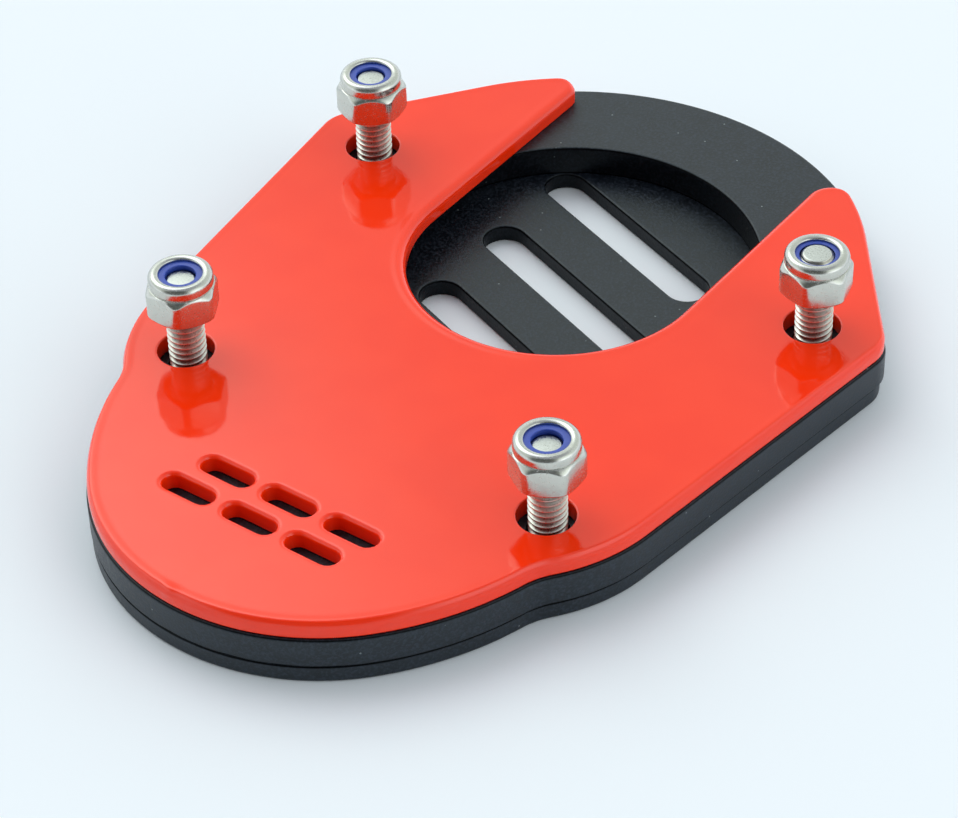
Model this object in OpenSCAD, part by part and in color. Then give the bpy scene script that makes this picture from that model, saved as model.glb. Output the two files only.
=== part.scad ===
// Kickstand foot enlarger: a three-plate sandwich that widens the foot of a motorcycle side stand.
// Millimetres, +Z up. The sole rests on z = 0, the nose points to -Y and the pocket end to +Y.
// The origin is the middle of the footprint. Screw threads are drawn as plain cylinders.

/* [Footprint] */
// Overall length, nose tip to the back of the ring
foot_l = 99.2; // [90:0.2:120]
// Half width of the side line, level with the origin
side_w = 33.8; // [31:0.1:40]
// Angle by which each side line opens towards the back, degrees
side_taper = 7.56; // [4:0.02:10]
// Radius of the nose
nose_r = 24.65; // [22:0.05:27]
// Angle below the X axis at which the nose runs into the flank, degrees
flank_a = 43; // [35:1:50]
// Radius of the flank beside the nose
flank_r = 35.15; // [30:0.05:45]
// Radius of the hollow between flank and shoulder
blend_r = 8.1; // [5:0.1:12]
// Radius of the shoulder beside the front screws
shoulder_r = 19.8; // [15:0.1:22]
// How far in front of the origin the shoulder runs into the side line
shoulder_y = 15.3; // [12:0.1:18]
// Radius of the two back corners
corner_r = 4.5; // [2:0.1:8]
// Outside radius of the ring at the back
ring_r = 32.2; // [30:0.1:35]
// Angle above the X axis at which the back edge touches the ring, degrees
back_a = 37.1; // [33:0.1:42]

/* [Plates] */
// Thickness of the sole plate
sole_t = 2; // [1.9:0.1:4]
// Thickness of the spacer plate
spacer_t = 3.5; // [2:0.1:8]
// Thickness of the top plate with its powder coat
plate_t = 2.1; // [1.5:0.1:4]
// How far the top plate's edge stands back from the spacer's
plate_inset = 0.15; // [0:0.05:0.6]
// How far the sole plate's edge stands back from the spacer's
sole_inset = 0.26; // [0:0.02:0.6]
// How far the sole plate's outline, not its holes, lies towards the nose
sole_shift = 0.25; // [0:0.05:0.3]

/* [Pocket and slots] */
// Radius of the pocket that takes the side stand's own foot
pocket_r = 20.6; // [18:0.1:24]
// Straight stretch of the pocket between its two round ends
pocket_straight = 5; // [1:0.5:8]
// Width of the slots in the sole
slot_w = 4.8; // [3:0.1:6]
// Overall length of the slots
slot_l = 27.6; // [18:0.2:27.8]
// Angle of the slots to the X axis, degrees
slot_a = -20.3; // [-30:0.1:-10]
// Distance between slots along Y
slot_pitch = 12; // [9:0.5:12.5]
// Place along Y of the middle slot
slot_y = 16; // [14:0.5:17]
// Number of slots
slot_count = 3; // [1:2:3]

/* [Top plate cut-out] */
// Half width of the U cut-out
u_w = 16.3; // [14:0.1:18]
// Place along Y of the U's round end
u_y = 14.7; // [12:0.1:18]
// Radius of the left arm's tip
tip_left_r = 2; // [1:0.1:3.5]
// Radius of the right arm's tip
tip_right_r = 2.6; // [1:0.1:3.5]
// Length of a vent slot in the nose
vent_l = 6.2; // [4:0.1:6.8]
// Width of a vent slot
vent_w = 2.3; // [1.5:0.1:3]
// Distance between vent slots along X
vent_pitch = 7.8; // [7.2:0.1:8.4]
// Distance between the two rows of vent slots
vent_row = 4.2; // [3.6:0.1:5]
// How far the vent rows lie behind the nose tip
vent_back = 14.8; // [12:0.1:18]
// How far each row is set sideways from the middle
vent_stagger = 0.8; // [0:0.1:2]

/* [Screws] */
// Distance between the two front screws
front_span = 45.8; // [40:0.2:48]
// Distance between the two rear screws
rear_span = 57.7; // [52:0.1:60]
// How far the front screws stand in front of the origin
front_row = 19.8; // [18:0.1:22]
// How far the rear screws stand behind the origin
rear_row = 20.2; // [18:0.1:22]
// Thread diameter of the screws
screw_d = 4; // [3:0.5:5]
// Length of the screws, countersunk head included
screw_l = 16.4; // [16:0.1:25]
// Diameter of the countersunk head
head_d = 7.4; // [6.6:0.1:9]
// Height of the straight rim round the head
head_rim = 0.25; // [0.1:0.05:0.4]
// How far the head lies below the sole's underside
head_sink = 0.05; // [0.02:0.01:0.4]
// Width across flats of the socket in the head
socket_af = 2.5; // [2:0.1:3]
// Depth of the socket
socket_depth = 1.5; // [1:0.1:1.8]
// Bevel at the screw's end
screw_bevel = 0.45; // [0.2:0.05:0.6]
// Clearance round the screw in the sole and the spacer
screw_clear = 0.15; // [0.05:0.05:0.4]
// Clearance round the countersunk head
head_clear = 0.06; // [0.03:0.01:0.2]
// Diameter of the oversize screw holes in the top plate
plate_hole_d = 6; // [5.6:0.1:7]
// How far those holes sit towards the nose from the screws
hole_drift = 0.3; // [0:0.05:0.6]

/* [Lock nuts] */
// Width across flats
nut_af = 7; // [6.8:0.1:9]
// Width across corners, with the corners rounded off
nut_corners = 7.75; // [7.5:0.05:9]
// Height of the nut
nut_h = 5; // [4.6:0.1:6]
// Height of the hexagon
hex_h = 3.6; // [3:0.1:4]
// Diameter of the round collar
collar_d = 6.8; // [6.4:0.1:7]
// Diameter of the opening in the collar's top
crown_d = 4.6; // [4.3:0.1:5]
// Radius of the collar's rolled rim
rim_r = 0.65; // [0.3:0.05:0.8]
// Wall of the collar round the nylon ring
collar_wall = 0.5; // [0.35:0.05:0.6]
// Diameter of the nut's bearing face
bearing_d = 6.2; // [5.5:0.1:6.6]
// Height of the nuts above the top plate
nut_lift = 4.6; // [3:0.1:8]
// Clearance between the nut and the screw's crests
thread_clear = 0.04; // [0.02:0.01:0.1]
// Thickness of the nylon ring
ring_t = 1.3; // [0.8:0.05:1.4]
// Depth of the nylon ring's top below the collar's rim
ring_sink = 0.4; // [0.2:0.05:0.5]
// Diameter of the nylon ring's bore past the screw's end
ring_bore_d = 3.2; // [3:0.1:3.8]
// Clearance between the nylon ring and its seat
ring_clear = 0.03; // [0.01:0.01:0.08]

/* [Hidden] */
$fn = 96;
// Name, side, row, turn of the nut in degrees, and by how much its nut sits higher and its screw is longer
CORNERS = [
    ["front_left", -1, -1, 0, 0.3, 0.1],
    ["front_right", 1, -1, 30, 0.1, -0.15],
    ["rear_left", -1, 1, 38, 0.1, 0.1],
    ["rear_right", 1, 1, 44, -0.15, 0.35],
];

// Heights of the joints between the plates
spacer_z = sole_t;
plate_z = spacer_z + spacer_t;
top_z = plate_z + plate_t;
// Centres of the large round forms
nose_y = nose_r - foot_l / 2;
ring_y = foot_l / 2 - ring_r;
through = 1;
overlap = 0.01;

function unit(a) = [cos(a), sin(a)];
function angle_of(v) = atan2(v.y, v.x);
// Centre of the circle of radius r that touches two circles from outside, right of the way from a to b
function touching(a, ra, b, rb, r) =
    let (
        way = (b - a) / norm(b - a),
        along = ((ra + r) ^ 2 - (rb + r) ^ 2 + norm(b - a) ^ 2) / (2 * norm(b - a)),
        aside = sqrt((ra + r) ^ 2 - along ^ 2)
    ) a + along * way + aside * [way.y, -way.x];
// Point at which the lines p . unit(a) = da and p . unit(b) = db cross
function crossing(a, da, b, db) =
    [da * sin(b) - db * sin(a), db * cos(a) - da * cos(b)] / sin(b - a);
function mirrored(points) = [for (i = [len(points) - 1:-1:0]) [-points[i].x, points[i].y]];
function screw_place(c) = c[2] < 0
    ? [c[1] * front_span / 2, -front_row]
    : [c[1] * rear_span / 2, rear_row];

// Footprint grown by g on every side: true arcs, laid over a polygon through the points where they meet
module footprint(g = 0) {
    nose = [0, nose_y];
    flank = nose + (nose_r - flank_r) * unit(-flank_a);
    side_d = side_w * cos(side_taper);
    shoulder_at = [side_w - shoulder_y * tan(side_taper), -shoulder_y];
    shoulder = shoulder_at - shoulder_r * unit(-side_taper);
    blend = touching(flank, flank_r, shoulder, shoulder_r, blend_r);
    ring = [0, ring_y];
    back_d = ring_y * sin(back_a) + ring_r;
    corner = crossing(-side_taper, side_d - corner_r, back_a, back_d - corner_r);
    half = [
        nose + (nose_r + g) * unit(-flank_a),
        flank + (flank_r + g) * unit(angle_of(blend - flank)),
        shoulder + (shoulder_r + g) * unit(angle_of(blend - shoulder)),
        shoulder + (shoulder_r + g) * unit(-side_taper),
        corner + (corner_r + g) * unit(-side_taper),
        corner + (corner_r + g) * unit(back_a),
        ring + (ring_r + g) * unit(back_a),
    ];
    difference() {
        union() {
            polygon(concat(half, mirrored(half)));
            translate(nose) circle(nose_r + g);
            translate(ring) circle(ring_r + g);
            for (side = [0, 1]) {
                mirror([side, 0]) {
                    translate(shoulder) circle(shoulder_r + g);
                    translate(corner) circle(corner_r + g);
                    intersection() {
                        translate(flank) circle(flank_r + g);
                        polygon([nose, half[0], half[0] + unit(-flank_a), half[1] + unit(-flank_a), half[1]]);
                    }
                }
            }
        }
        for (side = [0, 1]) {
            mirror([side, 0]) translate(blend) circle(blend_r - g);
        }
    }
}

// Slot with round ends, lying along X
module slot(length, width) {
    square([length - width, width], center = true);
    for (side = [-1, 1]) {
        translate([side * (length - width) / 2, 0]) circle(d = width);
    }
}

module pocket() {
    translate([0, ring_y]) circle(pocket_r);
    translate([0, ring_y - pocket_straight]) circle(pocket_r);
    translate([-pocket_r, ring_y - pocket_straight]) square([2 * pocket_r, pocket_straight]);
}

// U cut-out that opens to the back and leaves the two arms with round tips
module u_cut() {
    reach = foot_l / 2 + through;
    arc_r = ring_r - plate_inset;
    translate([0, u_y]) circle(u_w);
    translate([-u_w, u_y]) square([2 * u_w, reach - u_y]);
    for (side = [0, 1]) {
        tip_r = side == 0 ? tip_right_r : tip_left_r;
        tip = [u_w + tip_r, ring_y + sqrt((arc_r - tip_r) ^ 2 - (u_w + tip_r) ^ 2)];
        touch = [0, ring_y] + (arc_r + through) * unit(angle_of(tip - [0, ring_y]));
        mirror([side, 0]) difference() {
            polygon([[u_w - through, tip.y], tip, touch, [touch.x, reach], [u_w - through, reach]]);
            translate(tip) circle(tip_r);
        }
    }
}

// Two staggered rows of short slots in the nose
module vents() {
    for (row = [-1, 1], i = [-1:1]) {
        translate([i * vent_pitch + row * vent_stagger, vent_back - foot_l / 2 + row * vent_row / 2])
            slot(vent_l, vent_w);
    }
}

module screw_holes(diameter, drift = 0) {
    for (c = CORNERS) {
        translate(screw_place(c) - [0, drift]) circle(d = diameter);
    }
}

module sole_plate() {
    cone_top = head_sink + head_rim + (head_d - screw_d) / 2;
    color("#2e333d") difference() {
        linear_extrude(sole_t) difference() {
            translate([0, -sole_shift]) footprint(-sole_inset);
            for (i = [0:slot_count - 1]) {
                translate([0, slot_y + (i - (slot_count - 1) / 2) * slot_pitch])
                    rotate(slot_a) slot(slot_l, slot_w);
            }
            screw_holes(screw_d + 2 * screw_clear);
        }
        for (c = CORNERS) {
            translate(screw_place(c)) rotate_extrude() polygon([
                [0, -through],
                [head_d / 2 + head_clear, -through],
                [head_d / 2 + head_clear, head_sink + head_rim],
                [screw_d / 2 + head_clear, cone_top],
                [0, cone_top],
            ]);
        }
    }
}

module spacer_plate() {
    color("#343a45") translate([0, 0, spacer_z]) linear_extrude(spacer_t) difference() {
        footprint();
        pocket();
        screw_holes(screw_d + 2 * screw_clear);
    }
}

module top_plate() {
    color("#f4442f") translate([0, 0, plate_z]) linear_extrude(plate_t) difference() {
        footprint(-plate_inset);
        u_cut();
        vents();
        screw_holes(plate_hole_d, hole_drift);
    }
}

module screw(c) {
    cone_top = head_rim + (head_d - screw_d) / 2;
    own_l = screw_l + c[5];
    color("#b9b7b2") translate(concat(screw_place(c), head_sink)) difference() {
        rotate_extrude() polygon([
            [0, 0],
            [head_d / 2, 0],
            [head_d / 2, head_rim],
            [screw_d / 2, cone_top],
            [screw_d / 2, own_l - screw_bevel],
            [screw_d / 2 - screw_bevel, own_l],
            [0, own_l],
        ]);
        translate([0, 0, -through])
            cylinder(h = socket_depth + through, d = socket_af / cos(30), $fn = 6);
    }
}

// Place of a corner's nut, turned as that nut is
module at_nut(c) {
    translate(concat(screw_place(c), top_z + nut_lift + c[4])) rotate(c[3]) children();
}

module lock_nut(c) {
    bore_r = screw_d / 2 + thread_clear;
    corner = nut_corners / 2;
    collar = collar_d / 2;
    bevel_h = (corner - bearing_d / 2) * tan(30);
    seat_r = collar - collar_wall;
    seat_top = nut_h - ring_sink + ring_clear;
    seat_floor = nut_h - ring_sink - ring_t - ring_clear;
    color("#c9c8c3") at_nut(c) difference() {
        union() {
            intersection() {
                cylinder(h = hex_h, d = nut_af / cos(30), $fn = 6);
                rotate_extrude() polygon([
                    [0, 0],
                    [bearing_d / 2, 0],
                    [corner, bevel_h],
                    [corner, hex_h - (corner - collar) * tan(30)],
                    [collar, hex_h],
                    [0, hex_h],
                ]);
            }
            rotate_extrude() {
                translate([0, hex_h - overlap]) square([collar, nut_h - rim_r - hex_h + overlap]);
                translate([0, hex_h]) square([collar - rim_r, nut_h - hex_h]);
                translate([collar - rim_r, nut_h - rim_r]) circle(rim_r);
            }
        }
        translate([0, 0, -through]) cylinder(h = nut_h + through, r = bore_r);
        translate([0, 0, seat_floor]) cylinder(h = seat_top - seat_floor, r = seat_r);
        translate([0, 0, seat_floor]) cylinder(h = nut_h, d = crown_d);
    }
}

// Nylon ring: its bore follows the screw and closes in over the screw's bevelled end
module nylon_ring(c) {
    floor_z = nut_h - ring_sink - ring_t;
    wide = screw_d / 2 + thread_clear;
    screw_end = head_sink + screw_l + c[5] - top_z - nut_lift - c[4];
    bevel_z = screw_end - screw_bevel;
    closing = wide - ring_bore_d / 2;
    color("#2f4aa8") at_nut(c) difference() {
        translate([0, 0, floor_z]) cylinder(h = ring_t, r = collar_d / 2 - collar_wall - ring_clear);
        translate([0, 0, floor_z - through]) cylinder(h = nut_h, d = ring_bore_d);
        rotate_extrude() polygon([
            [0, floor_z - through],
            [wide, floor_z - through],
            [wide, bevel_z],
            [wide - closing, bevel_z + closing],
            [0, bevel_z + closing],
        ]);
    }
}

sole_plate();
spacer_plate();
top_plate();
for (c = CORNERS) {
    screw(c);
    lock_nut(c);
    nylon_ring(c);
}
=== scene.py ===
import math
import bmesh
import bpy
import numpy as np
from mathutils import Matrix, Vector, geometry


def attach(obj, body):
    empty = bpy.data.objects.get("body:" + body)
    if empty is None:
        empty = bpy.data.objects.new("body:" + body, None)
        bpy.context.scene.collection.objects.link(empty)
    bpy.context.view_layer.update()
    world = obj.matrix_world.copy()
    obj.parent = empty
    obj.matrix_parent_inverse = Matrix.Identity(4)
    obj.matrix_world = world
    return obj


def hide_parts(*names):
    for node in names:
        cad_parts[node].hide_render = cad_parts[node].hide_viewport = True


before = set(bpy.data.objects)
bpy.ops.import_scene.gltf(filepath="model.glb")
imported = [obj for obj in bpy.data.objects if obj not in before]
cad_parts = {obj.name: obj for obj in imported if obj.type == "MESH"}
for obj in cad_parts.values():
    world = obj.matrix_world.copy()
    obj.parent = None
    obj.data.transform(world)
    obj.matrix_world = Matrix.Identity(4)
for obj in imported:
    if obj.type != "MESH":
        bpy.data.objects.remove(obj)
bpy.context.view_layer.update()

mm = 0.001  # every size below is in millimetres

outline = {
    "length": 99.2,
    "sideW": 33.8,         # half width level with the origin
    "taper": 7.56,         # degrees by which each side opens towards the back
    "noseR": 24.65,
    "flankAngle": 43,
    "flankR": 35.15,
    "blendR": 8.1,
    "shoulderR": 19.8,
    "shoulderY": 15.3,
    "cornerR": 4.5,
    "ringR": 32.2,
    "backAngle": 37.1,
    "step": 0.5,           # longest chord on an arc
}
stack = {"sole": 2.0, "spacer": 3.5, "top": 2.1}
spacerZ = stack["sole"]
topZ = spacerZ + stack["spacer"]
faceZ = topZ + stack["top"]
noseY = outline["noseR"] - outline["length"] / 2
ringY = outline["length"] / 2 - outline["ringR"]

# name: place, turn of the nut, the nut's own lift and the screw's own extra length
corners = {
    "front_left": {"at": (-22.9, -19.8), "turn": 0, "lift": 0.3, "extra": 0.1},
    "front_right": {"at": (22.9, -19.8), "turn": 30, "lift": 0.1, "extra": -0.15},
    "rear_left": {"at": (-28.85, 20.2), "turn": 38, "lift": 0.1, "extra": 0.1},
    "rear_right": {"at": (28.85, 20.2), "turn": 44, "lift": -0.15, "extra": 0.35},
}


# Plane outlines: each is (points, outward normals), counter-clockwise

def unit(angle):
    return np.array([math.cos(math.radians(angle)), math.sin(math.radians(angle))])


def angleOf(v):
    return math.degrees(math.atan2(v[1], v[0]))


def eased(t):
    t = np.clip(t, 0, 1)
    return t * t * (3 - 2 * t)


def arc(centre, radius, start, stop, bulge=1):
    turn = (stop - start + 180) % 360 - 180 if abs(stop - start) > 180 else stop - start
    steps = max(4, math.ceil(abs(math.radians(turn)) * radius / outline["step"]))
    a = np.radians(start + turn * np.linspace(0, 1, steps + 1))
    n = np.c_[np.cos(a), np.sin(a)]
    return np.asarray(centre) + radius * n, bulge * n


def joined(*pieces):
    points = np.vstack([p for p, n in pieces])
    normals = np.vstack([n for p, n in pieces])
    keep = np.r_[True, np.linalg.norm(np.diff(points, axis=0), axis=1) > 1e-4]
    return points[keep], normals[keep]


def closed(half, leftHalf=None):
    points, normals = half  # the right half, from the axis to the axis; the left is its mirror or its own
    leftPoints, leftNormals = leftHalf or half
    flip = np.array([-1, 1])
    inner = slice(-2, 0, -1)
    return np.vstack([points, leftPoints[inner] * flip]), np.vstack([normals, leftNormals[inner] * flip])


def touching(a, ra, b, rb, r):
    gap = np.linalg.norm(b - a)  # circle of radius r that touches two circles from outside
    way = (b - a) / gap
    along = ((ra + r) ** 2 - (rb + r) ** 2 + gap ** 2) / (2 * gap)
    aside = math.sqrt((ra + r) ** 2 - along ** 2)
    return a + along * way + aside * np.array([way[1], -way[0]])


def rightSide(grow, ringStop):
    o = outline
    nose = np.array([0, noseY])
    flank = nose + (o["noseR"] - o["flankR"]) * unit(-o["flankAngle"])
    meet = np.array([o["sideW"] - o["shoulderY"] * math.tan(math.radians(o["taper"])), -o["shoulderY"]])
    shoulder = meet - o["shoulderR"] * unit(-o["taper"])
    blend = touching(flank, o["flankR"], shoulder, o["shoulderR"], o["blendR"])
    sideD = o["sideW"] * math.cos(math.radians(o["taper"])) - o["cornerR"]
    backD = ringY * math.sin(math.radians(o["backAngle"])) + o["ringR"] - o["cornerR"]
    lines = np.array([unit(-o["taper"]), unit(o["backAngle"])])
    corner = np.linalg.solve(lines, [sideD, backD])
    return joined(
        arc(nose, o["noseR"] + grow, -90, -o["flankAngle"]),
        arc(flank, o["flankR"] + grow, -o["flankAngle"], angleOf(blend - flank)),
        arc(blend, o["blendR"] - grow, angleOf(flank - blend), angleOf(shoulder - blend), -1),
        arc(shoulder, o["shoulderR"] + grow, angleOf(blend - shoulder), -o["taper"]),
        arc(corner, o["cornerR"] + grow, -o["taper"], o["backAngle"]),
        arc([0, ringY], o["ringR"] + grow, o["backAngle"], ringStop),
    )


def circleLoop(centre, radius):
    points, normals = arc(centre, radius, 0, 180)
    back, backNormals = arc(centre, radius, 180, 360)
    return np.vstack([points[:-1], back[:-1]]), np.vstack([normals[:-1], backNormals[:-1]])


def slotLoop(centre, length, width, angle=0):
    reach = (length - width) / 2
    ends = [arc([reach, 0], width / 2, -90, 90), arc([-reach, 0], width / 2, 90, 270)]
    points = np.vstack([p for p, n in ends])
    normals = np.vstack([n for p, n in ends])
    c, s = unit(angle)
    spin = np.array([[c, s], [-s, c]])
    return points @ spin + np.asarray(centre), normals @ spin


def asHole(loop):
    points, normals = loop
    return points[::-1], -normals[::-1]


def wander(points):
    x, y = points.T  # a slow wave along an edge, from -1 to 1
    return 0.5 * (np.sin(0.83 * x + 1.1 * y) + np.sin(1.9 * x - 1.3 * y + 2.0))


# Meshes

def newObject(name, verts, faces, material):
    mesh = bpy.data.meshes.new(name)
    mesh.from_pydata([tuple(v) for v in verts], [], faces)
    mesh.polygons.foreach_set("use_smooth", [True] * len(mesh.polygons))
    mesh.materials.append(material)
    piece = bpy.data.objects.new(name, mesh)
    bpy.context.scene.collection.objects.link(piece)
    return piece


def edgeRows(low, high, lowR, curves, bead=0.0, beadW=0.0):
    # (inset, height) up a wall: low corner, plumb, curves of (radius, angle, steps), then the bead
    flat = 0.12  # level strip that keeps the face's shading flat
    rows = [(lowR + flat, low)]
    for i in range(8):
        a = math.pi / 2 * (1 - i / 7)
        rows.append((lowR * (1 - math.cos(a)), low + lowR * (1 - math.sin(a))))
    rows.append((0, low + lowR + flat))
    inset, rise, angle = 0.0, 0.0, 0.0
    upper = [(0.0, -flat / 2), (0.0, 0.0)]
    for radius, reach, steps in curves:
        for a in np.radians(np.linspace(angle, reach, steps + 1)[1:]):
            upper.append((inset + radius * (math.cos(math.radians(angle)) - math.cos(a)),
                          rise + radius * (math.sin(a) - math.sin(math.radians(angle)))))
        inset, rise = upper[-1]
        angle = reach
    rows += [(x, high - rise + h) for x, h in upper]
    if bead:
        rows += [(inset + beadW * t, high - bead * eased(t)) for t in (0.15, 0.3, 0.45, 0.6, 0.8, 1.0)]
    rows.append((inset + beadW + flat, high - bead))
    return rows


def blended(first, second, share):
    return [(a + (c - a) * share, b + (d - b) * share) for (a, b), (c, d) in zip(first, second)]


def fillFace(loops, offsets, upward):
    index = np.concatenate([np.arange(len(loop)) + start for loop, start in zip(loops, offsets)])
    starts = np.vstack(loops)
    stops = np.vstack([np.roll(loop, -1, axis=0) for loop in loops])
    edges, first = [], 0
    for loop in loops:
        edges += [(first + i, first + (i + 1) % len(loop)) for i in range(len(loop))]
        first += len(loop)
    flatPoints = [Vector(p) for p in starts]
    _, _, triangles, origins, _, _ = geometry.delaunay_2d_cdt(flatPoints, edges, [], 1, 1e-6)
    faces = []
    for triangle in triangles:
        corner = [origins[v][0] for v in triangle]
        x, y = starts[corner].mean(axis=0)
        crossed = (starts[:, 1] > y) != (stops[:, 1] > y)
        a, b = starts[crossed], stops[crossed]
        meets = a[:, 0] + (y - a[:, 1]) / (b[:, 1] - a[:, 1]) * (b[:, 0] - a[:, 0])
        if np.count_nonzero(meets > x) % 2:  # odd inside the plate, even in a hole
            faces.append([int(index[v]) for v in (corner if upward else corner[::-1])])
    return faces


def plate(name, loops, material):
    verts, faces = [], []
    low, high = [], []
    for (points, normals), rows in loops:
        count = len(points)
        base = len(verts)
        rings = []
        for inset, z in rows:
            rings.append(points - np.broadcast_to(inset, count)[:, None] * normals)
            verts.extend(np.c_[rings[-1], np.broadcast_to(z, count)])
        for k in range(len(rows) - 1):
            a = base + k * count
            faces.extend((a + i, a + (i + 1) % count, a + count + (i + 1) % count, a + count + i)
                         for i in range(count))
        low.append((rings[0], base))
        high.append((rings[-1], base + (len(rows) - 1) * count))
    faces += fillFace([p for p, start in low], [start for p, start in low], False)
    faces += fillFace([p for p, start in high], [start for p, start in high], True)
    piece = newObject(name, np.array(verts) * mm, faces, material)
    print(name, len(faces), "faces,", openEdges(piece.data), "open edges")
    return piece


def openEdges(mesh):
    shell = bmesh.new()
    shell.from_mesh(mesh)
    count = sum(1 for e in shell.edges if not e.is_manifold)
    shell.free()
    return count


def turned(rows, angles, loop=False, endFill=(False, False)):
    count = np.shape(angles)[-1]
    angles = np.broadcast_to(angles, (len(rows), count))
    verts, faces = [], []
    for (r, z), a in zip(rows, angles):
        verts.extend(np.c_[r * np.cos(a), r * np.sin(a), z + 0 * a])
    last = len(rows) if loop else len(rows) - 1
    for k in range(last):
        a, b = k * count, (k + 1) % len(rows) * count
        faces.extend((a + i, a + (i + 1) % count, b + (i + 1) % count, b + i) for i in range(count))
    if endFill[0]:
        faces.append(tuple(range(count - 1, -1, -1)))
    if endFill[1]:
        faces.append(tuple(range(len(rows) * count - count, len(rows) * count)))
    return np.array(verts), faces


def hexRadius(flats, cornerRound, cornerSteps=6, faceSteps=10):
    apothem = flats / 2
    centre = (apothem - cornerRound) / math.cos(math.radians(30))
    edge = math.atan2(cornerRound * 0.5, centre + cornerRound * math.cos(math.radians(30)))
    sextant = math.radians(60)
    faceAngles = np.linspace(edge, sextant - edge, faceSteps + 1)[1:-1]
    local = np.r_[np.linspace(-edge, edge, cornerSteps + 1), faceAngles]
    angles = np.concatenate([local + sextant * i for i in range(6)])
    away = np.abs((angles + sextant / 2) % sextant - sextant / 2)
    onFace = apothem / np.cos(sextant / 2 - away)
    aside = cornerRound ** 2 - (centre * np.sin(away)) ** 2
    onCorner = centre * np.cos(away) + np.sqrt(np.maximum(aside, 0))
    return angles, np.where(away > edge, onFace, onCorner)


# Node helpers

def mathNode(tree, operation, *values):
    node = tree.nodes.new("ShaderNodeMath")
    node.operation = operation
    for socket, value in zip(node.inputs, values):
        if isinstance(value, (int, float)):
            socket.default_value = value
        else:
            tree.links.new(value, socket)
    return node.outputs[0]


def smoothRange(tree, value, low, high, toLow=0.0, toHigh=1.0):
    node = tree.nodes.new("ShaderNodeMapRange")
    node.interpolation_type = "SMOOTHSTEP"
    tree.links.new(value, node.inputs["Value"])
    for socket, number in zip(("From Min", "From Max", "To Min", "To Max"), (low, high, toLow, toHigh)):
        if isinstance(number, (int, float)):
            node.inputs[socket].default_value = number
        else:
            tree.links.new(number, node.inputs[socket])
    return node.outputs["Result"]


def addSockets(tree, inputs, outputs):
    for name, kind, value in inputs:
        socket = tree.interface.new_socket(name=name, in_out="INPUT", socket_type=kind)
        if value is not None:
            socket.default_value = value
    for name, kind in outputs:
        tree.interface.new_socket(name=name, in_out="OUTPUT", socket_type=kind)
    return tree.nodes.new("NodeGroupInput").outputs, tree.nodes.new("NodeGroupOutput").inputs


def noise(tree, vector, scale, detail=2.0, roughness=0.5):
    node = tree.nodes.new("ShaderNodeTexNoise")
    node.inputs["Detail"].default_value = detail
    node.inputs["Roughness"].default_value = roughness
    tree.links.new(vector, node.inputs["Vector"])
    if isinstance(scale, (int, float)):
        node.inputs["Scale"].default_value = scale
    else:
        tree.links.new(scale, node.inputs["Scale"])
    return node.outputs["Fac"]


# Shader groups that several finishes share

def grainGroup():
    tree = bpy.data.node_groups.new("surfaceGrain", "ShaderNodeTree")
    given, out = addSockets(tree, [
        ("Grain Size", "NodeSocketFloat", 0.2), ("Grain Depth", "NodeSocketFloat", 0.003),
        ("Wave Size", "NodeSocketFloat", 3.0), ("Wave Depth", "NodeSocketFloat", 0.003),
    ], [("Normal", "NodeSocketVector"), ("Grain", "NodeSocketFloat"), ("Wave", "NodeSocketFloat")])
    coords = tree.nodes.new("ShaderNodeTexCoord").outputs["Object"]
    grain = noise(tree, coords, mathNode(tree, "DIVIDE", 1 / mm, given["Grain Size"]), 3.0, 0.6)
    wave = noise(tree, coords, mathNode(tree, "DIVIDE", 1 / mm, given["Wave Size"]), 1.0)
    fine = mathNode(tree, "MULTIPLY", grain, given["Grain Depth"])
    broad = mathNode(tree, "MULTIPLY", wave, given["Wave Depth"])
    bump = tree.nodes.new("ShaderNodeBump")
    bump.inputs["Strength"].default_value = 1.0
    bump.inputs["Distance"].default_value = mm
    tree.links.new(mathNode(tree, "ADD", fine, broad), bump.inputs["Height"])
    tree.links.new(bump.outputs["Normal"], out["Normal"])
    tree.links.new(grain, out["Grain"])
    tree.links.new(wave, out["Wave"])
    return tree


def speckGroup():
    tree = bpy.data.node_groups.new("straySpecks", "ShaderNodeTree")
    given, out = addSockets(tree, [
        ("Cell", "NodeSocketFloat", 1.5), ("Speck", "NodeSocketFloat", 0.06),
        ("Share", "NodeSocketFloat", 0.3),
    ], [("Mask", "NodeSocketFloat")])
    cells = tree.nodes.new("ShaderNodeTexVoronoi")
    tree.links.new(tree.nodes.new("ShaderNodeTexCoord").outputs["Object"], cells.inputs["Vector"])
    tree.links.new(mathNode(tree, "DIVIDE", 1 / mm, given["Cell"]), cells.inputs["Scale"])
    size = mathNode(tree, "DIVIDE", given["Speck"], given["Cell"])
    dot = mathNode(tree, "LESS_THAN", cells.outputs["Distance"], size)
    chosen = tree.nodes.new("ShaderNodeSeparateColor")
    tree.links.new(cells.outputs["Color"], chosen.inputs["Color"])
    few = mathNode(tree, "LESS_THAN", chosen.outputs["Red"], given["Share"])
    tree.links.new(mathNode(tree, "MULTIPLY", dot, few), out["Mask"])
    return tree


grain = grainGroup()
specks = speckGroup()


def placeGroup(tree, group, **values):
    node = tree.nodes.new("ShaderNodeGroup")
    node.node_tree = group
    for name, value in values.items():
        node.inputs[name.replace("_", " ")].default_value = value
    return node.outputs


def newMaterial(name, settings):
    material = bpy.data.materials.new(name)
    material.use_nodes = True
    tree = material.node_tree
    shader = tree.nodes["Principled BSDF"]
    for socket, value in settings.items():
        shader.inputs[socket].default_value = value
    return material, tree, shader


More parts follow.
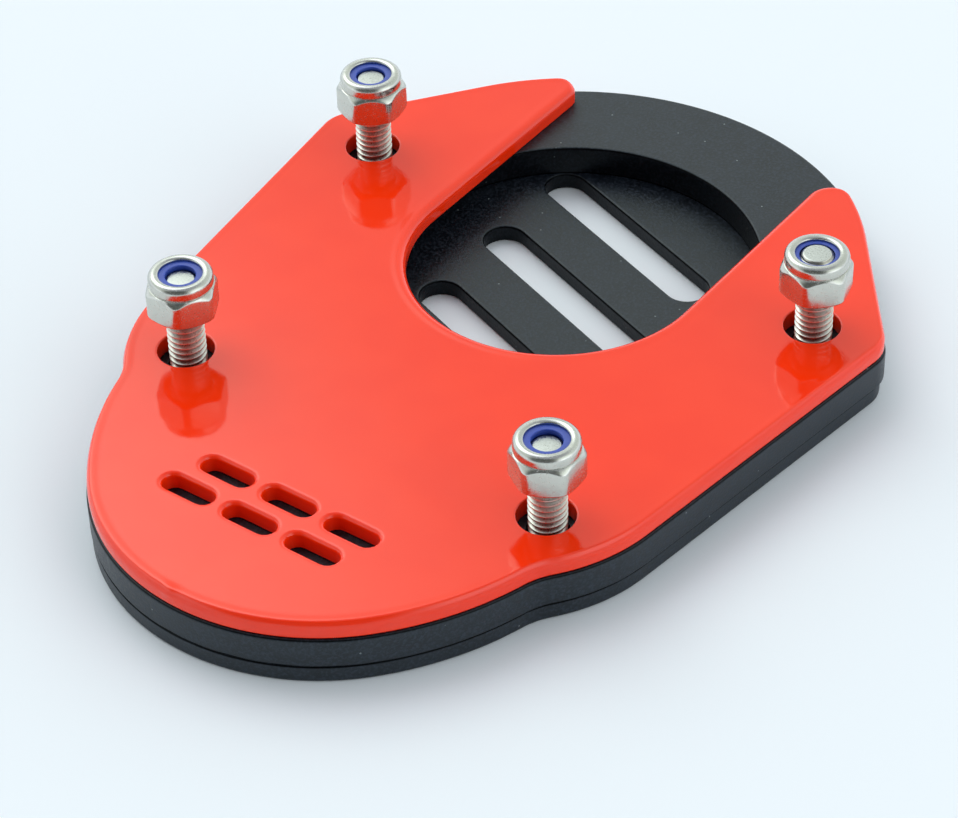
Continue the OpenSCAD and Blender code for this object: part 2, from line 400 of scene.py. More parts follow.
def mixColour(tree, factor, first, second):
    node = tree.nodes.new("ShaderNodeMix")
    node.data_type = "RGBA"
    tree.links.new(factor, node.inputs[0])
    for socket, value in ((node.inputs[6], first), (node.inputs[7], second)):
        if isinstance(value, tuple):
            socket.default_value = value
        else:
            tree.links.new(value, socket)
    return node.outputs[2]


def upwards(tree):
    facing = tree.nodes.new("ShaderNodeSeparateXYZ")
    tree.links.new(tree.nodes.new("ShaderNodeNewGeometry").outputs["Normal"], facing.inputs[0])
    return facing.outputs["Z"]


def grainedFinish(name, finish):
    material, tree, shader = newMaterial(name, finish["shader"])
    surface = placeGroup(tree, grain, **finish["grain"])
    rough = smoothRange(tree, surface["Grain"], *finish["grainRange"], *finish["roughness"])
    tree.links.new(rough, shader.inputs["Roughness"])
    tree.links.new(surface["Normal"], shader.inputs["Normal"])
    return material, tree, shader, surface


redFinish = {
    "shader": {"IOR": 1.5},
    "grain": {"Grain_Size": 1.3, "Grain_Depth": 0.0022, "Wave_Size": 7.0, "Wave_Depth": 0.012},
    "grainRange": (0.3, 0.7), "roughness": (0.05, 0.085),
    "deep": (0.98, 0.031, 0.002, 1), "light": (1.0, 0.036, 0.003, 1), "toneRange": (0.3, 0.7),
}


def redCoat():
    f = redFinish
    material, tree, shader, surface = grainedFinish("redPowderCoat", f)
    tone = smoothRange(tree, surface["Wave"], *f["toneRange"])
    tree.links.new(mixColour(tree, tone, f["deep"], f["light"]), shader.inputs["Base Color"])
    return material


blackFinish = {
    "shader": {"IOR": 1.45, "Specular Tint": (0.82, 0.95, 1.0, 1)},
    "grain": {"Grain_Size": 0.32, "Grain_Depth": 0.03, "Wave_Size": 2.4, "Wave_Depth": 0.02},
    "grainRange": (0.3, 0.7), "roughness": (0.34, 0.5),
    "deep": (0.001, 0.002, 0.005, 1), "light": (0.003, 0.005, 0.010, 1), "toneRange": (0.3, 0.7),
    "mottle": (0.018, 0.024, 0.038, 1), "mottleRange": (0.42, 0.7),
    "dust": {"Cell": 1.7, "Speck": 0.1, "Share": 0.3}, "dustColour": (0.16, 0.19, 0.2, 1),
    "jointShadowFull": 0.1, "jointShadowEnd": 0.28,              # distance from a joint's line over which its painted shadow fades
    "pocketLight": 0.4, "pocketReach": 24.0,           # painted shade on walls in the pocket and slots
    "pocketMiddle": ringY - 2.5,
    "rimLight": 1.35, "rimReach": 27.0,                # painted sheen on walls of the outline
    "levelRange": (0.6, 0.93),                         # from a wall to a level face
    "gloss": 0.46, "leastGloss": 0.04,
}


# Painted light and shade: 1 on level faces; on walls a painted sheen outside and painted shade in the
# pocket and slots, and 0 (a painted shadow) in the joints between the plates
def paintedWallShade(tree):
    f = blackFinish
    place = tree.nodes.new("ShaderNodeSeparateXYZ")
    tree.links.new(tree.nodes.new("ShaderNodeTexCoord").outputs["Object"], place.inputs[0])
    height = mathNode(tree, "MULTIPLY_ADD", place.outputs["Z"], 1 / mm, -spacerZ)
    fromJoint = mathNode(tree, "PINGPONG", height, stack["spacer"] / 2)
    away = smoothRange(tree, fromJoint, f["jointShadowFull"], f["jointShadowEnd"])
    across = mathNode(tree, "POWER", place.outputs["X"], 2.0)
    fromMiddle = mathNode(tree, "SUBTRACT", place.outputs["Y"], f["pocketMiddle"] * mm)
    along = mathNode(tree, "POWER", fromMiddle, 2.0)
    reach = mathNode(tree, "SQRT", mathNode(tree, "ADD", across, along))
    nearReach, farReach = f["pocketReach"] * mm, f["rimReach"] * mm
    outer = smoothRange(tree, reach, nearReach, farReach, f["pocketLight"], f["rimLight"])
    level = smoothRange(tree, mathNode(tree, "ABSOLUTE", upwards(tree)), *f["levelRange"])
    return mathNode(tree, "MAXIMUM", mathNode(tree, "MULTIPLY", away, outer), level)


def blackCoat():
    f = blackFinish
    material, tree, shader, surface = grainedFinish("blackSatinCoat", f)
    tone = smoothRange(tree, surface["Wave"], *f["toneRange"])
    body = mixColour(tree, tone, f["deep"], f["light"])
    mottle = smoothRange(tree, surface["Grain"], *f["mottleRange"])
    body = mixColour(tree, mottle, body, f["mottle"])
    dust = placeGroup(tree, specks, **f["dust"])
    body = mixColour(tree, dust["Mask"], body, f["dustColour"])
    # painted shade: pocket and slot walls and the joint lines get a darker body and less reflection, while
    # outer walls get a painted sheen
    lit = paintedWallShade(tree)
    tree.links.new(mixColour(tree, lit, (0, 0, 0, 1), body), shader.inputs["Base Color"])
    gloss = mathNode(tree, "MULTIPLY_ADD", lit, f["gloss"], f["leastGloss"])
    tree.links.new(gloss, shader.inputs["Specular IOR Level"])
    return material


nutFinish = {
    "shader": {"Metallic": 1.0},
    "grain": {"Grain_Size": 0.3, "Grain_Depth": 0.0026, "Wave_Size": 1.6, "Wave_Depth": 0.016},
    "grainRange": (0.25, 0.75), "roughness": (0.16, 0.3),
    "sides": ((0.55, 0.55, 0.50, 1), (0.67, 0.67, 0.61, 1)),
    # painted shade: faces that look upward get a darker colour than the sides
    "tops": ((0.38, 0.40, 0.38, 1), (0.54, 0.56, 0.53, 1)), "shadedTopRange": (0.1, 0.7),
}


def nutSteel():
    f = nutFinish
    material, tree, shader, surface = grainedFinish("brightNutSteel", f)
    sides = mixColour(tree, surface["Wave"], *f["sides"])
    tops = mixColour(tree, surface["Wave"], *f["tops"])
    # painted shade: mixes towards the darker colour as the surface turns upward
    colour = mixColour(tree, smoothRange(tree, upwards(tree), *f["shadedTopRange"]), sides, tops)
    tree.links.new(colour, shader.inputs["Base Color"])
    return material


screwFinish = {
    "shader": {"Metallic": 1.0},
    "grain": {"Grain_Size": 0.2, "Grain_Depth": 0.004, "Wave_Size": 0.9, "Wave_Depth": 0.012},
    "grainRange": (0.25, 0.75), "roughness": (0.24, 0.42),
    "crests": ((0.66, 0.68, 0.63, 1), (0.80, 0.82, 0.77, 1)), "roots": (0.34, 0.33, 0.30, 1),
    "ends": ((0.32, 0.34, 0.33, 1), (0.62, 0.66, 0.64, 1)), "endRange": (0.8, 0.96),
}


def screwSteel():
    f = screwFinish
    material, tree, shader, surface = grainedFinish("rolledScrewSteel", f)
    root = tree.nodes.new("ShaderNodeAttribute")
    root.attribute_name = "threadRoot"
    body = mixColour(tree, surface["Wave"], *f["crests"])
    # painted shade: the thread roots get a darker colour than the crests
    body = mixColour(tree, root.outputs["Fac"], body, f["roots"])
    sawn = mixColour(tree, surface["Grain"], *f["ends"])
    body = mixColour(tree, smoothRange(tree, upwards(tree), *f["endRange"]), body, sawn)
    tree.links.new(body, shader.inputs["Base Color"])
    return material


nylonFinish = {
    "shader": {"IOR": 1.53},
    "grain": {"Grain_Size": 0.15, "Grain_Depth": 0.004, "Wave_Size": 0.8, "Wave_Depth": 0.02},
    "grainRange": (0.3, 0.7), "roughness": (0.3, 0.45),
    "blues": ((0.022, 0.060, 0.40, 1), (0.034, 0.082, 0.48, 1)),
}


def blueNylon():
    f = nylonFinish
    material, tree, shader, surface = grainedFinish("blueNylon", f)
    tree.links.new(mixColour(tree, surface["Wave"], *f["blues"]), shader.inputs["Base Color"])
    return material


redPowder = redCoat()
blackSatin = blackCoat()
nutBright = nutSteel()
screwRolled = screwSteel()
nylonBlue = blueNylon()
print("materials made")

# Top plate: a U cut-out that leaves two arms, two rows of vent slots and four oversize screw holes
topPlate = {
    "inset": 0.15, "holeD": 6.0, "holeDrift": 0.3,
    "uW": 16.3, "uY": 14.7, "tipLeftR": 2.0, "tipRightR": 2.6, "tipBlend": 1.2,
    "ventL": 6.2, "ventW": 2.3, "ventPitch": 7.8, "ventRow": 4.2, "ventBack": 14.8, "ventStagger": 0.8,
    "lowEdgeR": 0.42, "bead": 0.022, "beadW": 0.8,
    "rimCurves": ((1.7, 34, 7), (0.25, 68, 5), (0.4, 90, 4)),
    "uCurves": ((0.95, 35, 7), (0.95, 66, 5), (0.95, 90, 4)),
    "ventCurves": ((0.5, 90, 7),), "holeCurves": ((0.18, 90, 7),), "innerLowR": 0.2,
    "nibAt": (-0.9, -49.2), "nibR": 0.6, "nibH": 0.17, "nibLow": 0.8, "nibRise": 0.6, "nibLift": 0.4,
}


def topHalf(tipR):
    t = topPlate
    arcR = outline["ringR"] - t["inset"]
    tipX = t["uW"] + tipR
    tip = np.array([tipX, ringY + math.sqrt((arcR - tipR) ** 2 - tipX ** 2)])
    tipAngle = angleOf(tip - np.array([0, ringY]))
    return joined(
        rightSide(-t["inset"], tipAngle),
        arc(tip, tipR, tipAngle, 180),
        arc([0, t["uY"]], t["uW"], 0, -90, -1),
    )


def topEdge(points):
    t = topPlate
    x, y = np.abs(points[:, 0]), points[:, 1]
    reach = t["tipBlend"] * np.where(points[:, 0] > 0, t["tipRightR"], t["tipLeftR"])
    # the U's wall has a wider top curve, which goes over into the rim's round the tips
    inU = eased(1 - (x - t["uW"]) / reach) * (y > t["uY"] - t["uW"] - 1)
    rim = edgeRows(topZ, faceZ, t["lowEdgeR"], t["rimCurves"], t["bead"], t["beadW"])
    return blended(rim, edgeRows(topZ, faceZ, t["innerLowR"], t["uCurves"], t["bead"], t["beadW"]), inU)


def ventLoops():
    t = topPlate
    for row in (-1, 1):
        for i in (-1, 0, 1):
            x = i * t["ventPitch"] + row * t["ventStagger"]
            y = t["ventBack"] - outline["length"] / 2 + row * t["ventRow"] / 2
            yield slotLoop([x, y], t["ventL"], t["ventW"])


def addNib(piece):
    t = topPlate  # a drop of the coat that set at the nose's rim
    co = np.empty(len(piece.data.vertices) * 3)
    piece.data.vertices.foreach_get("co", co)
    co = co.reshape(-1, 3) / mm
    away = np.hypot(co[:, 0] - t["nibAt"][0], co[:, 1] - t["nibAt"][1]) / t["nibR"]
    upper = np.clip((co[:, 2] - topZ - t["nibLow"]) / t["nibRise"], 0, 1)
    swell = t["nibH"] * np.exp(-away ** 2) * upper
    outward = co[:, :2] - np.array([0, noseY])
    outward /= np.linalg.norm(outward, axis=1)[:, None] + 1e-9
    co[:, :2] += outward * swell[:, None]
    co[:, 2] = np.minimum(co[:, 2] + swell * t["nibLift"], faceZ + 0.05)
    piece.data.vertices.foreach_set("co", (co * mm).ravel())
    piece.data.update()


def makeTopPlate():
    t = topPlate
    rim = closed(topHalf(t["tipRightR"]), topHalf(t["tipLeftR"]))
    level = faceZ - t["bead"]
    loops = [(rim, topEdge(rim[0]))]
    ventRows = edgeRows(topZ, level, t["innerLowR"], t["ventCurves"])
    loops += [(asHole(loop), ventRows) for loop in ventLoops()]
    holeRows = edgeRows(topZ, level, t["innerLowR"], t["holeCurves"])
    for c in corners.values():
        centre = np.array(c["at"]) - np.array([0, t["holeDrift"]])
        loops.append((asHole(circleLoop(centre, t["holeD"] / 2)), holeRows))
    piece = plate("redTopPlate", loops, redPowder)
    addNib(piece)
    return piece


# Spacer plate: the pocket and the ring behind it
spacerPlate = {
    "pocketR": 20.6, "pocketStraight": 5.0, "holeD": 4.3, "edgeCurves": ((0.35, 90, 7),),
    "pocketCurves": ((0.3, 90, 7),), "holeCurves": ((0.1, 90, 4),), "holeLowR": 0.1,
    "lowEdgeR": 0.26, "lowWander": 0.08,
}


def makeSpacerPlate():
    s = spacerPlate
    points, normals = closed(rightSide(0, 90))
    pocket = closed(joined(
        arc([0, ringY - s["pocketStraight"]], s["pocketR"], -90, 0),
        arc([0, ringY], s["pocketR"], 0, 90),
    ))
    lowR = s["lowEdgeR"] + s["lowWander"] * wander(points)
    loops = [
        ((points, normals), edgeRows(spacerZ, topZ, lowR, s["edgeCurves"])),
        (asHole(pocket), edgeRows(spacerZ, topZ, s["holeLowR"], s["pocketCurves"])),
    ]
    holeRows = edgeRows(spacerZ, topZ, s["holeLowR"], s["holeCurves"])
    loops += [(asHole(circleLoop(c["at"], s["holeD"] / 2)), holeRows) for c in corners.values()]
    return plate("blackSpacerPlate", loops, blackSatin)


# Sole plate: three slanted slots and four countersinks
solePlate = {
    "inset": 0.26, "shift": 0.25, "edgeCurves": ((0.24, 90, 7),), "lowEdgeR": 0.32,
    "slotW": 4.8, "slotL": 27.6, "slotAngle": -20.3, "slotPitch": 12.0, "slotY": 16.0, "slotCount": 3,
    "slotCurves": ((0.28, 90, 7),), "slotLowR": 0.28,
    "holeD": 4.3, "sinkD": 7.52, "sinkRim": 0.3, "sinkSoft": 0.05,
}


def makeSolePlate():
    s = solePlate
    high = stack["sole"]
    points, normals = closed(rightSide(-s["inset"], 90))
    rim = (points - np.array([0, s["shift"]]), normals)
    loops = [(rim, edgeRows(0, high, s["lowEdgeR"], s["edgeCurves"]))]
    slotRows = edgeRows(0, high, s["slotLowR"], s["slotCurves"])
    for i in range(s["slotCount"]):
        y = s["slotY"] + (i - (s["slotCount"] - 1) / 2) * s["slotPitch"]
        loops.append((asHole(slotLoop([0, y], s["slotL"], s["slotW"], s["slotAngle"])), slotRows))
    wider = (s["sinkD"] - s["holeD"]) / 2
    soft = s["sinkSoft"]
    sinkRows = [
        (wider + 0.2, 0), (wider + soft, 0), (wider, soft), (wider, s["sinkRim"]),
        (soft, s["sinkRim"] + wider - soft), (0, s["sinkRim"] + wider), (0, high - soft),
        (soft, high), (soft + 0.1, high),
    ]
    loops += [(asHole(circleLoop(c["at"], s["holeD"] / 2)), sinkRows) for c in corners.values()]
    return plate("blackSolePlate", loops, blackSatin)


topPiece = makeTopPlate()
spacerPiece = makeSpacerPlate()
solePiece = makeSolePlate()
print("plates made")

# Screws: a turned head with its socket, and a thread that geometry nodes wind round the shank
screw = {
    "d": 4.0, "length": 16.4, "pitch": 0.7, "rootR": 1.6, "endR": 1.47, "endRound": 0.17,
    "headD": 7.4, "headRim": 0.25, "headSink": 0.05, "socket": 2.5, "socketDepth": 1.5, "soft": 0.08,
    "threadStart": 3.0, "around": 72, "rowsPerTurn": 10,
}


def screwEnds(top):
    s = screw  # the head up to the thread, and the round at the far end
    hexAngles, socketR = hexRadius(s["socket"], s["soft"], 4, 8)
    even = np.linspace(0, 2 * math.pi, s["around"] + 1)[:-1]
    rim = s["headD"] / 2
    cone = s["headRim"] + (s["headD"] - s["d"]) / 2
    deep = s["socketDepth"]
    inHex = [(socketR * 0.02, deep + 0.35), (socketR * 0.9, deep), (socketR, deep - 0.06), (socketR, 0.12),
             (socketR + 0.12, 0)]
    inRound = [(1.9, 0), (rim - s["soft"], 0), (rim, s["soft"]), (rim, s["headRim"]),
               (rim - 0.08, s["headRim"] + 0.1), (s["d"] / 2 + 0.1, cone - 0.1),
               (s["rootR"] + 0.1, cone + 0.12), (s["rootR"], cone + 0.35),
               (s["rootR"], s["threadStart"] - s["headSink"])]
    angles = np.array([hexAngles] * len(inHex) + [even] * len(inRound))
    verts, faces = turned(inHex + inRound, angles, endFill=(True, False))
    verts[:, 2] += s["headSink"]
    capRows = []
    for i in range(6):
        a = math.radians(45 + 9 * i)
        inset = s["endRound"] * (math.cos(math.radians(45)) - math.cos(a))
        capRows.append((s["endR"] - inset, top - s["endRound"] * (1 - math.sin(a))))
    capVerts, capFaces = turned(capRows, even, endFill=(False, True))
    faces += [tuple(i + len(verts) for i in face) for face in capFaces]
    return np.vstack([verts, capVerts]) * mm, faces, capRows[0]


def threadTree():
    tree = bpy.data.node_groups.new("rolledThread", "GeometryNodeTree")
    given, out = addSockets(tree, [
        ("Geometry", "NodeSocketGeometry", None),
        ("Crest Radius", "NodeSocketFloat", 0.002), ("Root Radius", "NodeSocketFloat", 0.0016),
        ("End Radius", "NodeSocketFloat", 0.0015), ("Pitch", "NodeSocketFloat", 0.0007),
        ("Bottom", "NodeSocketFloat", 0.0), ("Top", "NodeSocketFloat", 0.01),
        ("Turns", "NodeSocketInt", 10), ("Around", "NodeSocketInt", 72),
        ("Rows per Turn", "NodeSocketInt", 10),
        ("Place", "NodeSocketVector", (0, 0, 0)), ("Turn", "NodeSocketFloat", 0.0),
        ("Material", "NodeSocketMaterial", None),
    ], [("Geometry", "NodeSocketGeometry")])
    link = tree.links.new
    grid = tree.nodes.new("GeometryNodeMeshGrid")
    link(mathNode(tree, "ADD", given["Around"], 1), grid.inputs["Vertices X"])
    rows = mathNode(tree, "MULTIPLY", given["Turns"], given["Rows per Turn"])
    link(mathNode(tree, "ADD", rows, 1), grid.inputs["Vertices Y"])
    flat = tree.nodes.new("ShaderNodeSeparateXYZ")
    link(tree.nodes.new("GeometryNodeInputPosition").outputs[0], flat.inputs[0])
    u = mathNode(tree, "ADD", flat.outputs["X"], 0.5)
    v = mathNode(tree, "ADD", flat.outputs["Y"], 0.5)
    turns = mathNode(tree, "MULTIPLY", v, given["Turns"])
    windings = mathNode(tree, "ADD", mathNode(tree, "SUBTRACT", turns, 1), u)
    climb = mathNode(tree, "MULTIPLY", windings, given["Pitch"])
    free = mathNode(tree, "ADD", climb, given["Bottom"])
    z = mathNode(tree, "MINIMUM", mathNode(tree, "MAXIMUM", free, given["Bottom"]), given["Top"])
    phase = mathNode(tree, "FRACT", mathNode(tree, "ADD", turns, 0.0001))
    fold = mathNode(tree, "ABSOLUTE", mathNode(tree, "MULTIPLY_ADD", phase, 2.0, -1.0))
    root = smoothRange(tree, fold, 0.12, 0.88)
    depth = mathNode(tree, "SUBTRACT", given["Crest Radius"], given["Root Radius"])
    radius = mathNode(tree, "SUBTRACT", given["Crest Radius"], mathNode(tree, "MULTIPLY", root, depth))
    endLimit = mathNode(tree, "ADD", given["End Radius"], mathNode(tree, "SUBTRACT", given["Top"], z))
    footLimit = mathNode(tree, "ADD", given["Root Radius"], mathNode(tree, "SUBTRACT", z, given["Bottom"]))
    radius = mathNode(tree, "MINIMUM", mathNode(tree, "MINIMUM", radius, endLimit), footLimit)
    angle = mathNode(tree, "MULTIPLY", u, 2 * math.pi)
    point = tree.nodes.new("ShaderNodeCombineXYZ")
    link(mathNode(tree, "MULTIPLY", radius, mathNode(tree, "COSINE", angle)), point.inputs["X"])
    link(mathNode(tree, "MULTIPLY", radius, mathNode(tree, "SINE", angle)), point.inputs["Y"])
    link(z, point.inputs["Z"])
    mark = tree.nodes.new("GeometryNodeStoreNamedAttribute")  # how deep in the thread each point lies; the screw steel paints shade into the roots by it
    mark.inputs["Name"].default_value = "threadRoot"
    link(grid.outputs["Mesh"], mark.inputs["Geometry"])
    link(root, mark.inputs["Value"])
    wind = tree.nodes.new("GeometryNodeSetPosition")
    link(mark.outputs["Geometry"], wind.inputs["Geometry"])
    link(point.outputs[0], wind.inputs["Position"])
    both = tree.nodes.new("GeometryNodeJoinGeometry")
    for geometryOut in (given["Geometry"], wind.outputs["Geometry"]):
        link(geometryOut, both.inputs[0])
    weld = tree.nodes.new("GeometryNodeMergeByDistance")
    weld.inputs["Distance"].default_value = 0.002 * mm
    link(both.outputs[0], weld.inputs["Geometry"])
    seat = tree.nodes.new("GeometryNodeTransform")
    spin = tree.nodes.new("ShaderNodeCombineXYZ")
    link(given["Turn"], spin.inputs["Z"])
    link(weld.outputs["Geometry"], seat.inputs["Geometry"])
    link(given["Place"], seat.inputs["Translation"])
    link(spin.outputs[0], seat.inputs["Rotation"])
    finishTree(tree, seat.outputs["Geometry"], given["Material"], out["Geometry"])
    return tree


def seatTree():
    tree = bpy.data.node_groups.new("seatedAtCorner", "GeometryNodeTree")
    given, out = addSockets(tree, [
        ("Geometry", "NodeSocketGeometry", None), ("Place", "NodeSocketVector", (0, 0, 0)),
        ("Turn", "NodeSocketFloat", 0.0), ("Material", "NodeSocketMaterial", None),
    ], [("Geometry", "NodeSocketGeometry")])
    spot = tree.nodes.new("GeometryNodePoints")
    tree.links.new(given["Place"], spot.inputs["Position"])
    spin = tree.nodes.new("ShaderNodeCombineXYZ")
    tree.links.new(given["Turn"], spin.inputs["Z"])
    put = tree.nodes.new("GeometryNodeInstanceOnPoints")
    tree.links.new(spot.outputs[0], put.inputs["Points"])
    tree.links.new(given["Geometry"], put.inputs["Instance"])
    tree.links.new(spin.outputs[0], put.inputs["Rotation"])
    finishTree(tree, put.outputs["Instances"], given["Material"], out["Geometry"])
    return tree


def finishTree(tree, result, material, out):
    real = tree.nodes.new("GeometryNodeRealizeInstances")
    tree.links.new(result, real.inputs["Geometry"])
    paint = tree.nodes.new("GeometryNodeSetMaterial")
    tree.links.new(real.outputs["Geometry"], paint.inputs["Geometry"])
    tree.links.new(material, paint.inputs["Material"])
    tree.links.new(paint.outputs["Geometry"], out)


def grown(name, verts, faces, tree, values, sharpAngle=38):
    source = newObject(name + "Source", verts, faces, values["Material"])
    modifier = source.modifiers.new("grow", "NODES")
    modifier.node_group = tree
    sockets = {item.name: item.identifier for item in tree.interface.items_tree if item.in_out == "INPUT"}
    for key, value in values.items():
        modifier[sockets[key]] = value
    evaluated = source.evaluated_get(bpy.context.evaluated_depsgraph_get())
    mesh = bpy.data.meshes.new_from_object(evaluated)
    mesh.name = name
    bpy.data.objects.remove(source)
    piece = bpy.data.objects.new(name, mesh)
    bpy.context.scene.collection.objects.link(piece)
    shell = bmesh.new()
    shell.from_mesh(mesh)
    bmesh.ops.recalc_face_normals(shell, faces=shell.faces)
    shell.to_mesh(mesh)
    shell.free()
    mesh.polygons.foreach_set("use_smooth", [True] * len(mesh.polygons))
    mesh.set_sharp_from_angle(angle=math.radians(sharpAngle))
    print(name, len(mesh.polygons), "faces,", openEdges(mesh), "open edges")
    return piece


def cornerName(stem, corner):
    return stem + "".join(word.capitalize() for word in corner.split("_"))


threads = threadTree()
seats = seatTree()
screwPieces, nutPieces, nylonPieces = {}, {}, {}


def makeScrew(name, c):
    s = screw
    verts, faces, (threadEndR, threadTop) = screwEnds(s["headSink"] + s["length"] + c["extra"])
    return grown(cornerName("screw", name), verts, faces, threads, {
        "Crest Radius": s["d"] / 2 * mm, "Root Radius": s["rootR"] * mm, "End Radius": threadEndR * mm,
        "Pitch": s["pitch"] * mm, "Bottom": s["threadStart"] * mm, "Top": threadTop * mm,
        "Turns": math.ceil((threadTop - s["threadStart"]) / s["pitch"]) + 1,
        "Around": s["around"], "Rows per Turn": s["rowsPerTurn"],
        "Place": (c["at"][0] * mm, c["at"][1] * mm, 0.0), "Turn": math.radians(c["turn"] * 3),
        "Material": screwRolled,
    })


# Lock nuts: hexagon, both chamfers, collar and the rim rolled over the nylon
nut = {
    "flats": 7.0, "cornerRound": 1.0, "height": 5.0, "hexH": 3.6, "bearingR": 3.1, "boreR": 2.04,
    "lowSlope": 0.58, "highSlope": 1.05, "soft": 0.1, "collarR": 3.4, "footDip": 0.06, "rimR": 0.64,
    "lipR": 2.3, "lipDrop": 0.2, "lipLow": 4.64, "seatR": 2.9, "seatZ": 3.27, "lift": 4.6,
}
nylon = {
    "outR": 2.87, "seenR": 2.4, "threadR": 2.04, "boreR": 1.6, "low": 3.3, "high": 4.6,
    "edgeR": 0.1, "bevel": 0.45,
}


def nutMesh():
    n = nut
    angles, hexR = hexRadius(n["flats"], n["cornerRound"])
    soft, hexH, collarR = n["soft"], n["hexH"], n["collarR"]
    lowCut = (hexR - n["bearingR"]) * n["lowSlope"]
    highCut = hexH - (hexR - collarR) * n["highSlope"]
    rows = [
        (n["boreR"], n["seatZ"]), (n["boreR"], 0.32), (n["boreR"] + 0.03, 0.28), (n["boreR"] + 0.26, 0.03),
        (n["boreR"] + 0.32, 0.0), (n["bearingR"] - 0.05, 0.0), (n["bearingR"] + 0.05, 0.03),
        (hexR - soft, lowCut - soft * n["lowSlope"]), (hexR - soft * 0.3, lowCut + soft * 0.2),
        (hexR, lowCut + soft * 1.5), (hexR, highCut - soft * 2.0),
        (hexR - soft * 0.15, highCut - soft * 0.9), (hexR - soft * 0.55, highCut - soft * 0.1),
        (hexR - soft * 1.2, highCut + soft * 0.8),
        (collarR + 0.05, hexH - 0.04), (collarR - n["footDip"] + 0.01, hexH),
        (collarR - n["footDip"], hexH + 0.06), (collarR - 0.01, hexH + 0.16), (collarR, hexH + 0.22),
    ]
    crest = collarR - n["rimR"]
    for i in range(13):
        a = math.pi / 2 * i / 12
        rows.append((crest + n["rimR"] * math.cos(a), n["height"] - n["rimR"] * (1 - math.sin(a))))
    lip = n["height"] - n["lipDrop"]
    for i in range(1, 9):
        a = math.pi / 2 * i / 8
        rows.append((crest - (crest - n["lipR"]) * math.sin(a), lip + n["lipDrop"] * math.cos(a)))
    rows += [(n["lipR"], n["lipLow"] + 0.03), (n["lipR"] + 0.03, n["lipLow"]),
             (n["seatR"] - 0.05, n["lipLow"]), (n["seatR"], n["lipLow"] - 0.05), (n["seatR"], n["seatZ"])]
    verts, faces = turned(rows, angles, loop=True)
    return verts * mm, faces


def nylonMesh(screwEnd):
    n = nylon
    even = np.linspace(0, 2 * math.pi, 73)[:-1]
    bevelZ = screwEnd - n["bevel"]
    closing = min(n["threadR"] - n["boreR"], n["high"] - n["edgeR"] - bevelZ)
    mouthR = n["threadR"] - closing
    rows = [(n["threadR"], n["low"]), (n["outR"], n["low"]), (n["outR"], n["high"] - 0.05),
            (n["outR"] - 0.05, n["high"]), (n["seenR"], n["high"])]
    for i in range(7):
        a = math.pi / 2 * (1 - i / 6)
        rows.append((mouthR + n["edgeR"] * (1 - math.cos(a)), n["high"] - n["edgeR"] * (1 - math.sin(a))))
    if n["high"] - n["edgeR"] - bevelZ - closing > 0.02:
        rows.append((mouthR, bevelZ + closing))
    rows.append((n["threadR"], bevelZ))
    verts, faces = turned(rows, even, loop=True)
    return verts * mm, faces


for name, c in corners.items():
    screwPieces[name] = makeScrew(name, c)
    nutZ = faceZ + nut["lift"] + c["lift"]
    place = (c["at"][0] * mm, c["at"][1] * mm, nutZ * mm)
    turn = math.radians(c["turn"])
    screwEnd = screw["headSink"] + screw["length"] + c["extra"] - nutZ
    nutPieces[name] = grown(cornerName("lockNut", name), *nutMesh(), seats,
                            {"Place": place, "Turn": turn, "Material": nutBright}, 50)
    nylonPieces[name] = grown(cornerName("nylonRing", name), *nylonMesh(screwEnd), seats,
                              {"Place": place, "Turn": turn, "Material": nylonBlue}, 50)
print("fasteners made")

# Each piece rides on the one body and stands for its solid
standIns = [(topPiece, "top_plate", "red_coat"), (spacerPiece, "spacer_plate", "black_plate"),
            (solePiece, "sole_plate", "black_plate")]
for name in corners:
    standIns.append((screwPieces[name], "screw_" + name, "steel"))
    standIns.append((nutPieces[name], "lock_nut_" + name, "steel"))
    standIns.append((nylonPieces[name], "nylon_ring_" + name, "blue_nylon"))
for piece, node, slot in standIns:
    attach(piece, "root")
    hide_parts(node)

# Camera: the photograph's own place, aim and roll, for a frame of 958 x 818 pixels
view = {"place": (160.959, -214.299, 220.78), "aim": (8.108, -10.823, 7.6), "roll": 1.684, "lens": 122.77}
camera = bpy.data.objects.new("photoCamera", bpy.data.cameras.new("photoCamera"))
bpy.context.scene.collection.objects.link(camera)
camera.data.lens = view["lens"]
camera.data.sensor_width = 36.0
camera.data.clip_start = 0.01
look = Vector(view["aim"]) - Vector(view["place"])
facing = look.to_track_quat("-Z", "Y").to_matrix()
facing = facing @ Matrix.Rotation(math.radians(-view["roll"]), 3, "Z")
camera.matrix_world = Matrix.Translation(Vector(view["place"]) * mm) @ facing.to_4x4()
bpy.context.scene.camera = camera

# Floor and soft studio light: azimuths and elevations in degrees, levels where 1 shows as white
studio = {
    "floorHalf": 4000.0,
    "floorColour": (0.865, 0.92, 0.995, 1),
    "backdrop": (0.855, 0.938, 1.0, 1),
    "lowLevel": 1.4, "lowTop": 12.0,                   # near the horizon
    "wallLevel": 1.08, "wallFrom": 33.0, "wallTo": 46.0,
    "topLevel": 0.6, "topFrom": 72.0,                  # overhead
    "shadeAt": (-66.0, 30.0), "shadeInner": 30.0, "shadeOuter": 52.0, "shadeDepth": 0.84,
    "keyAt": (160.0, 49.0), "keyInner": 14.0, "keyOuter": 26.0, "keyLevel": 2.2,
    "fillAt": (0.0, 24.0), "fillInner": 12.0, "fillOuter": 32.0, "fillLevel": 0.68,
    "lowTint": (0.96, 1.0, 1.05, 1), "wallTint": (0.95, 1.0, 0.93, 1), "topTint": (0.97, 0.99, 1.06, 1),
}


def studioFloor():
    h = studio["floorHalf"] * mm
    material, tree, shader = newMaterial("paleFloor", {"Roughness": 0.8, "Specular IOR Level": 0.2})
    shader.inputs["Base Color"].default_value = studio["floorColour"]
    ends = [(-h, -h, 0), (h, -h, 0), (h, h, 0), (-h, h, 0)]
    newObject("paleFloor", ends, [(0, 1, 2, 3)], material)


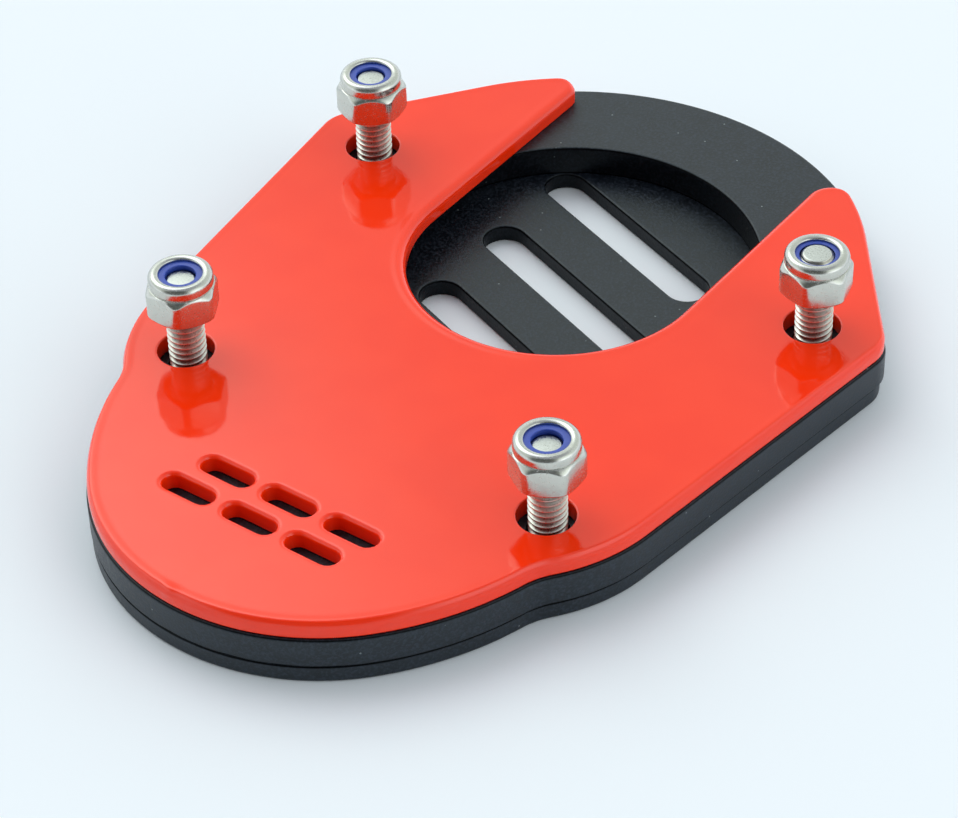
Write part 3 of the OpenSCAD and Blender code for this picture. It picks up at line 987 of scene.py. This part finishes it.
def studioWorld():
    s = studio
    world = bpy.data.worlds.new("softStudio")
    bpy.context.scene.world = world
    world.use_nodes = True
    tree = world.node_tree
    background = tree.nodes["Background"]
    way = tree.nodes.new("ShaderNodeTexCoord").outputs["Generated"]

    def towards(azimuth, elevation, outer, inner):
        node = tree.nodes.new("ShaderNodeVectorMath")
        node.operation = "DOT_PRODUCT"
        tree.links.new(way, node.inputs[0])
        x, y = unit(azimuth) * math.cos(math.radians(elevation))
        node.inputs[1].default_value = (x, y, math.sin(math.radians(elevation)))
        farCos, nearCos = math.cos(math.radians(outer)), math.cos(math.radians(inner))
        return smoothRange(tree, node.outputs["Value"], farCos, nearCos)

    overWall = towards(0, 90, 90 - s["lowTop"], 90 - s["wallFrom"])
    overhead = towards(0, 90, 90 - s["wallTo"], 90 - s["topFrom"])
    shade = towards(*s["shadeAt"], s["shadeOuter"], s["shadeInner"])
    key = towards(*s["keyAt"], s["keyOuter"], s["keyInner"])
    wall = mathNode(tree, "MULTIPLY_ADD", overWall, s["wallLevel"] - s["lowLevel"], s["lowLevel"])
    sky = mathNode(tree, "MULTIPLY_ADD", overhead, s["topLevel"] - s["wallLevel"], wall)
    sky = mathNode(tree, "MULTIPLY", sky, mathNode(tree, "MULTIPLY_ADD", shade, -s["shadeDepth"], 1.0))
    fill = towards(*s["fillAt"], s["fillOuter"], s["fillInner"])
    level = mathNode(tree, "MULTIPLY_ADD", key, s["keyLevel"], sky)
    level = mathNode(tree, "MULTIPLY_ADD", fill, s["fillLevel"], level)
    colour = mixColour(tree, overWall, s["lowTint"], s["wallTint"])
    colour = mixColour(tree, overhead, colour, s["topTint"])
    tint = tree.nodes.new("ShaderNodeVectorMath")
    tint.operation = "SCALE"
    tree.links.new(colour, tint.inputs[0])
    tree.links.new(level, tint.inputs["Scale"])
    seen = tree.nodes.new("ShaderNodeLightPath").outputs["Is Camera Ray"]
    tree.links.new(mixColour(tree, seen, tint.outputs[0], s["backdrop"]), background.inputs["Color"])
    background.inputs["Strength"].default_value = 1.0


studioFloor()
studioWorld()
bpy.context.scene.view_settings.view_transform = "Standard"
print("studio made")
